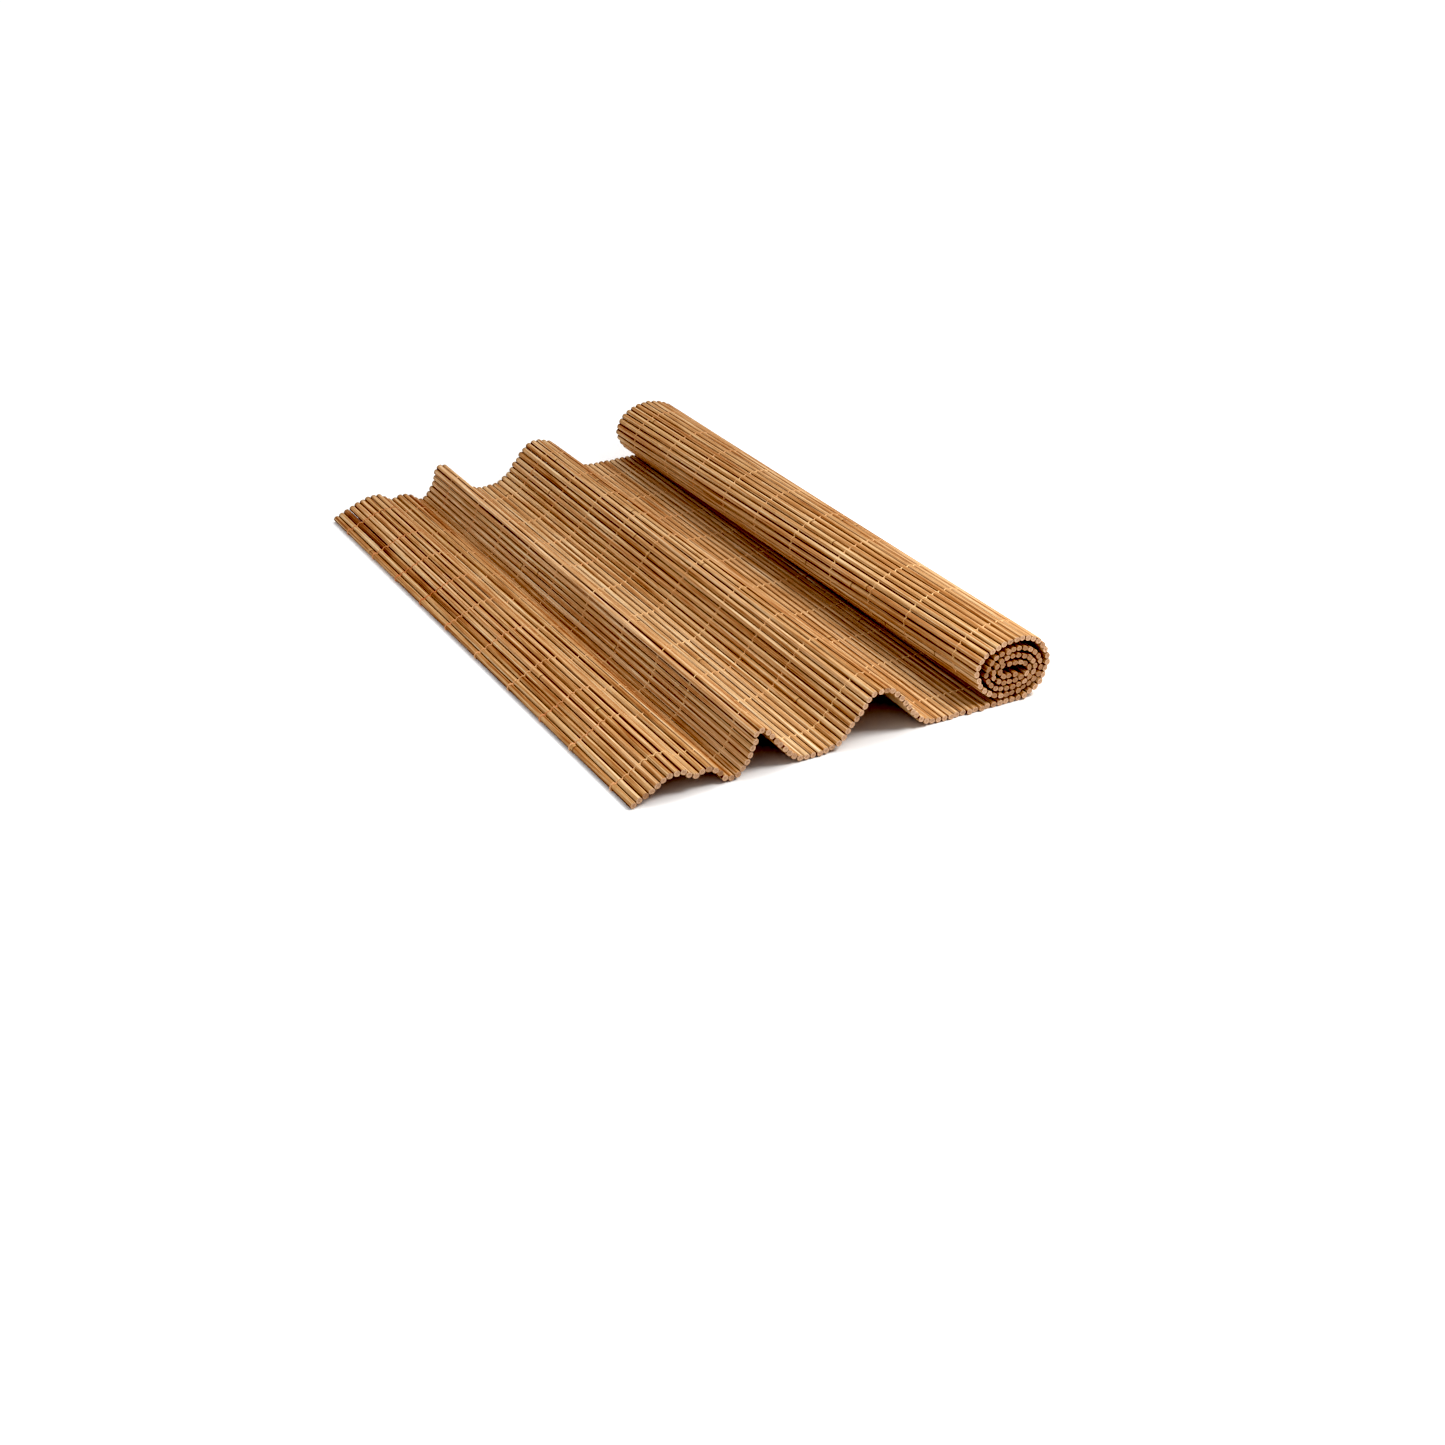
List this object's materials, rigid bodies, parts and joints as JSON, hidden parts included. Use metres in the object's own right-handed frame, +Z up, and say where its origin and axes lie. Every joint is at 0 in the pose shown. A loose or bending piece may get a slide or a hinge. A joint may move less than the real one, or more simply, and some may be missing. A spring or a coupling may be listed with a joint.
{
  "type": "bamboo placemat",
  "caption": "Placemat of thin round bamboo slats tied side by side, part rolled up, its loose end lying in low waves.",
  "frame": {"origin": "middle of the underside of the bounding box, on the surface that the mat rests on", "axes": "+X across the slats from the loose edge to the roll, +Y along the slats from their near end to their far end, +Z up"},
  "size_m": [0.177, 0.3, 0.0278],
  "materials": {
    "bamboo": "satin golden-tan bamboo, uneven from slat to slat",
    "thread": "matt orange-tan twisted cotton thread"
  },
  "bodies": {
    "root": {"slat_mat": "bamboo"}
  },
  "joints": []
}
